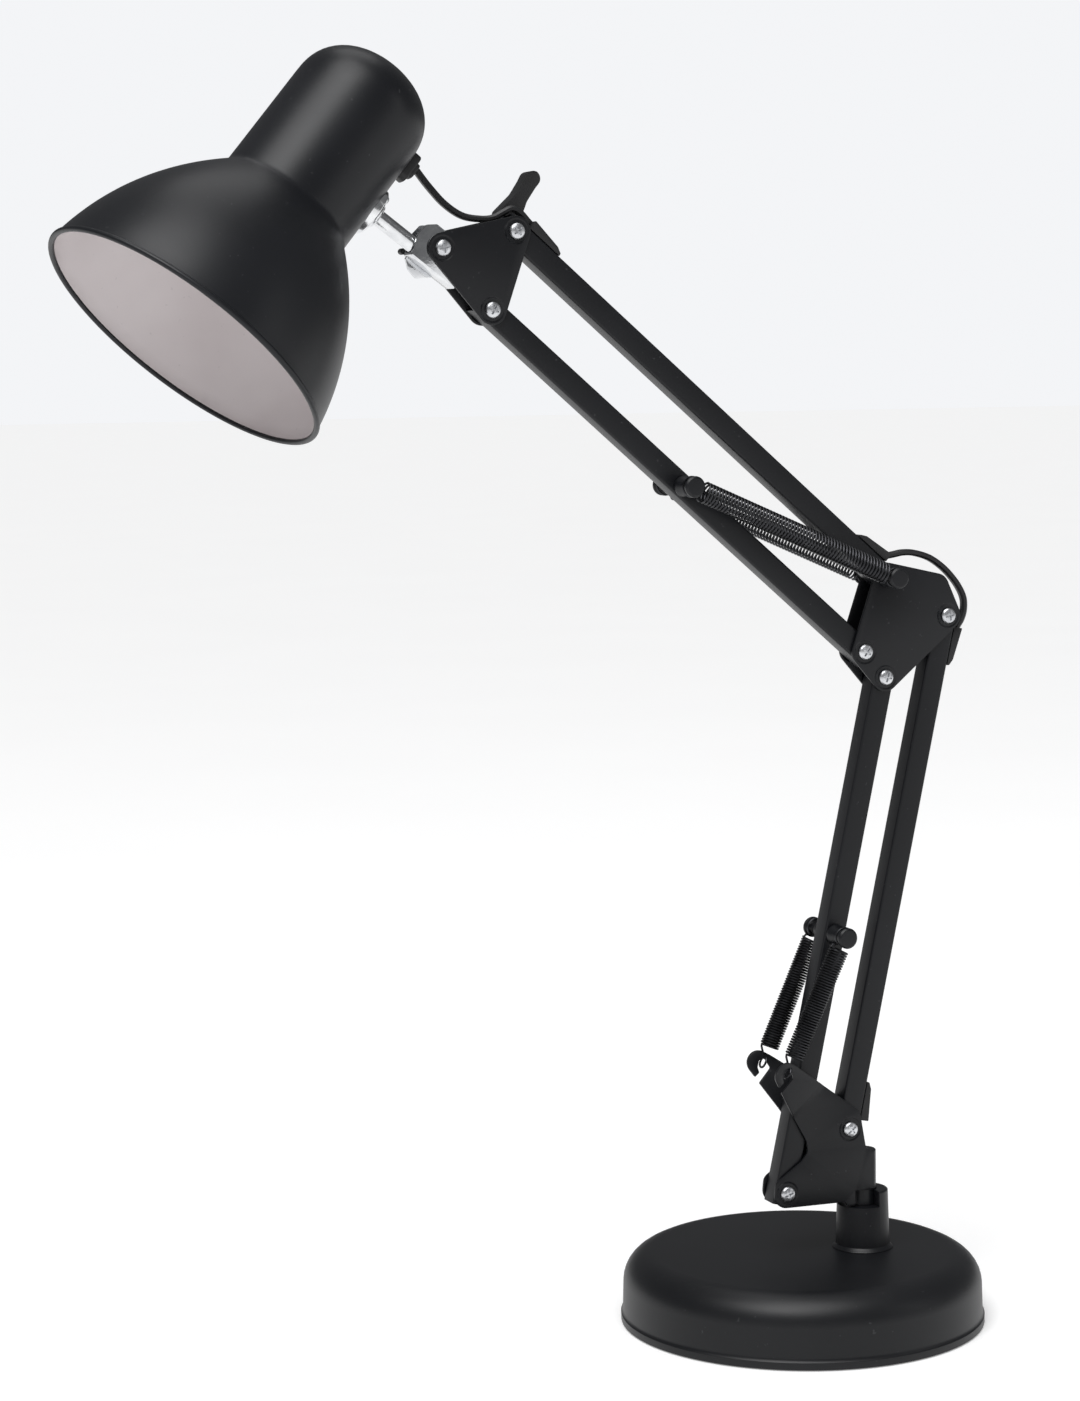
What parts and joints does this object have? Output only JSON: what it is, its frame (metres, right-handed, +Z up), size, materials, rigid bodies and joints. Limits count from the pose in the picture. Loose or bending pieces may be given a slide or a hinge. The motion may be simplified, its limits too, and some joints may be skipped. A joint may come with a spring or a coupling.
{
  "type": "swing arm desk lamp",
  "caption": "Black spring-balanced swing arm desk lamp with a bell shade, square-tube parallelogram arms and a weighted round base.",
  "frame": {"origin": "centre of the round base's underside, on the table", "axes": "+Z up out of the base; -X the way the arm and the shade reach out; the arms fold in a plane parallel to XZ at y = -7.5 mm"},
  "size_m": [0.4864, 0.2499, 0.6543],
  "materials": {
    "black_paint": "satin black enamel over steel",
    "black_plastic": "fine matte moulding",
    "spring_steel": "blackened drawn wire",
    "zinc": "zinc plated, semi-bright",
    "chrome": "bright chrome plate",
    "cast_iron": "rough as cast",
    "pad": "matte foam rubber",
    "frosted_glass": "frosted",
    "ceramic": "glazed",
    "flex": "satin flexible sheath"
  },
  "bodies": {
    "base": {"base_cover": "black_paint", "base_weight": "cast_iron", "base_pad": "pad", "post_collar": "black_paint", "collar_screw": "zinc", "mains_lead": "flex", "lead_coil": "flex", "mains_plug": "black_plastic"},
    "lower_bracket": {"swivel_post": "black_paint", "foot_plate_near": "black_paint", "foot_plate_far": "black_paint", "foot_front_bolt": "zinc", "foot_front_nut": "zinc", "foot_rear_bolt": "zinc", "foot_rear_nut": "zinc", "lead_gland": "black_plastic"},
    "lower_front_bar": {"lower_front_bar": "black_paint", "lower_spring_peg": "black_paint", "lower_spring_near": "spring_steel", "lower_spring_far": "spring_steel"},
    "lower_rear_bar": {"lower_rear_bar": "black_paint", "cable_guard_foot": "black_plastic", "cable_guard_elbow_lower": "black_plastic"},
    "elbow_bracket": {"elbow_plate_near": "black_paint", "elbow_plate_far": "black_paint", "elbow_front_bolt": "zinc", "elbow_front_nut": "zinc", "elbow_rear_bolt": "zinc", "elbow_rear_nut": "zinc", "elbow_upper_bolt": "zinc", "elbow_upper_nut": "zinc", "elbow_spring_peg": "black_paint", "elbow_flex": "flex"},
    "upper_lower_bar": {"upper_lower_bar": "black_paint", "upper_spring_peg": "black_paint", "upper_spring_near": "spring_steel", "upper_spring_far": "spring_steel"},
    "upper_upper_bar": {"upper_upper_bar": "black_paint", "cable_guard_elbow_upper": "black_plastic", "cable_guard_head": "black_plastic"},
    "head_bracket": {"head_plate_near": "black_paint", "head_plate_far": "black_paint", "head_lower_bolt": "zinc", "head_lower_nut": "zinc", "head_upper_bolt": "zinc", "tilt_bolt": "zinc", "head_flex": "flex"},
    "arm_wing_nut": {"arm_wing_nut": "black_plastic"},
    "tilt_wing_nut": {"tilt_wing_nut": "black_plastic"},
    "head_clamp": {"head_clamp": "chrome"},
    "shade_head": {"stem": "chrome", "stem_flange": "chrome", "stem_flange_screw": "zinc", "shade": "black_paint", "lampholder": "ceramic", "bulb": "frosted_glass", "flex_grommet": "black_plastic", "switch_bezel": "black_plastic"},
    "switch_button": {"switch_button": "black_plastic"}
  },
  "joints": [
    {"name": "post_swivel", "type": "hinge", "parent": "base", "child": "lower_bracket", "pos_m": [0.032, -0.0075, 0.06], "axis": [0, 0, 1], "range_deg": [-60, 60], "deforming": ["mains_lead"]},
    {"name": "lower_arm_swing", "type": "hinge", "parent": "lower_bracket", "child": "lower_rear_bar", "pos_m": [0.021, -0.0075, 0.102], "axis": [0, 1, 0], "range_deg": [-50, 18]},
    {"name": "lower_front_swing", "type": "hinge", "parent": "lower_bracket", "child": "lower_front_bar", "pos_m": [-0.0155, -0.0075, 0.0714], "axis": [0, 1, 0], "range_deg": [-50, 18], "deforming": ["lower_spring_near", "lower_spring_far"]},
    {"name": "elbow_level", "type": "hinge", "parent": "lower_rear_bar", "child": "elbow_bracket", "pos_m": [0.07916, -0.0075, 0.36873], "axis": [0, 1, 0], "range_deg": [-18, 50], "deforming": ["elbow_flex"]},
    {"name": "upper_arm_swing", "type": "hinge", "parent": "elbow_bracket", "child": "upper_upper_bar", "pos_m": [0.04406, -0.0075, 0.38993], "axis": [0, 1, 0], "range_deg": [-60, 33]},
    {"name": "upper_lower_swing", "type": "hinge", "parent": "elbow_bracket", "child": "upper_lower_bar", "pos_m": [0.03086, -0.0075, 0.35183], "axis": [0, 1, 0], "range_deg": [-60, 33], "deforming": ["upper_spring_near", "upper_spring_far"]},
    {"name": "head_level", "type": "hinge", "parent": "upper_upper_bar", "child": "head_bracket", "pos_m": [-0.15873, -0.0075, 0.56622], "axis": [0, 1, 0], "range_deg": [-33, 60], "deforming": ["head_flex"]},
    {"name": "head_tilt", "type": "hinge", "parent": "head_bracket", "child": "head_clamp", "pos_m": [-0.19723, -0.0075, 0.55802], "axis": [0, 1, 0], "range_deg": [-40, 45]},
    {"name": "head_swivel", "type": "hinge", "parent": "head_clamp", "child": "shade_head", "pos_m": [-0.20109, -0.0075, 0.5529], "axis": [-0.7986, 0, 0.6018], "range_deg": [-70, 70]},
    {"name": "arm_wing_nut_turn", "type": "hinge", "parent": "head_bracket", "child": "arm_wing_nut", "pos_m": [-0.15873, -0.0075, 0.56622], "axis": [0, 1, 0], "continuous": true},
    {"name": "tilt_wing_nut_turn", "type": "hinge", "parent": "head_bracket", "child": "tilt_wing_nut", "pos_m": [-0.19723, -0.0075, 0.55802], "axis": [0, 1, 0], "continuous": true},
    {"name": "switch_press", "type": "slide", "parent": "shade_head", "child": "switch_button", "axis": [0.0702, -0.9932, 0.0932], "range_m": [0, 0.0015], "stiffness_N_per_m": 900, "springref_m": -0.001}
  ],
  "couplings": [
    {"joint": "lower_front_swing", "follows": "lower_arm_swing", "ratio": 1},
    {"joint": "elbow_level", "follows": "lower_arm_swing", "ratio": -1},
    {"joint": "upper_lower_swing", "follows": "upper_arm_swing", "ratio": 1},
    {"joint": "head_level", "follows": "upper_arm_swing", "ratio": -1}
  ]
}
